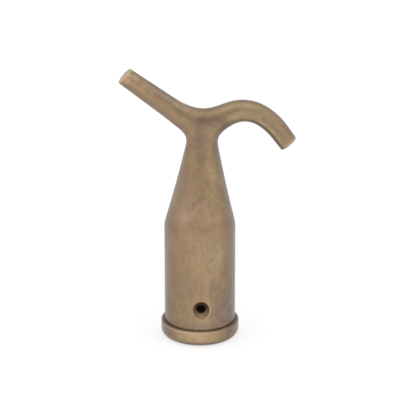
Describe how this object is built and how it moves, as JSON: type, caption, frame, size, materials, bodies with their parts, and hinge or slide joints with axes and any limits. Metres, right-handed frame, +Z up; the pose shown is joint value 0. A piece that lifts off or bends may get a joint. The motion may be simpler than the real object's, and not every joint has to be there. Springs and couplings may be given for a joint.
{
  "type": "boat hook head",
  "caption": "Brass boat-hook head: a straight blunt spike and an arched hook on a cone, over a round pole socket with countersunk screw holes and a band ring.",
  "frame": {"origin": "centre of the socket's mouth, on the plane that the band ring stands on", "axes": "+Z up the socket's axis towards the hook and spike, +X towards the hook's tip, -Y the front with the screw hole"},
  "size_m": [0.0934, 0.0418, 0.1496],
  "materials": {
    "cast_brass": "satin antique brass, brushed and mottled",
    "sleeve_brass": "satin antique brass, brushed lengthwise",
    "ring_brass": "satin antique brass, worn bright along the edges"
  },
  "bodies": {
    "root": {"hook_head": "cast_brass", "socket_sleeve": "sleeve_brass", "base_ring": "ring_brass"}
  },
  "joints": []
}
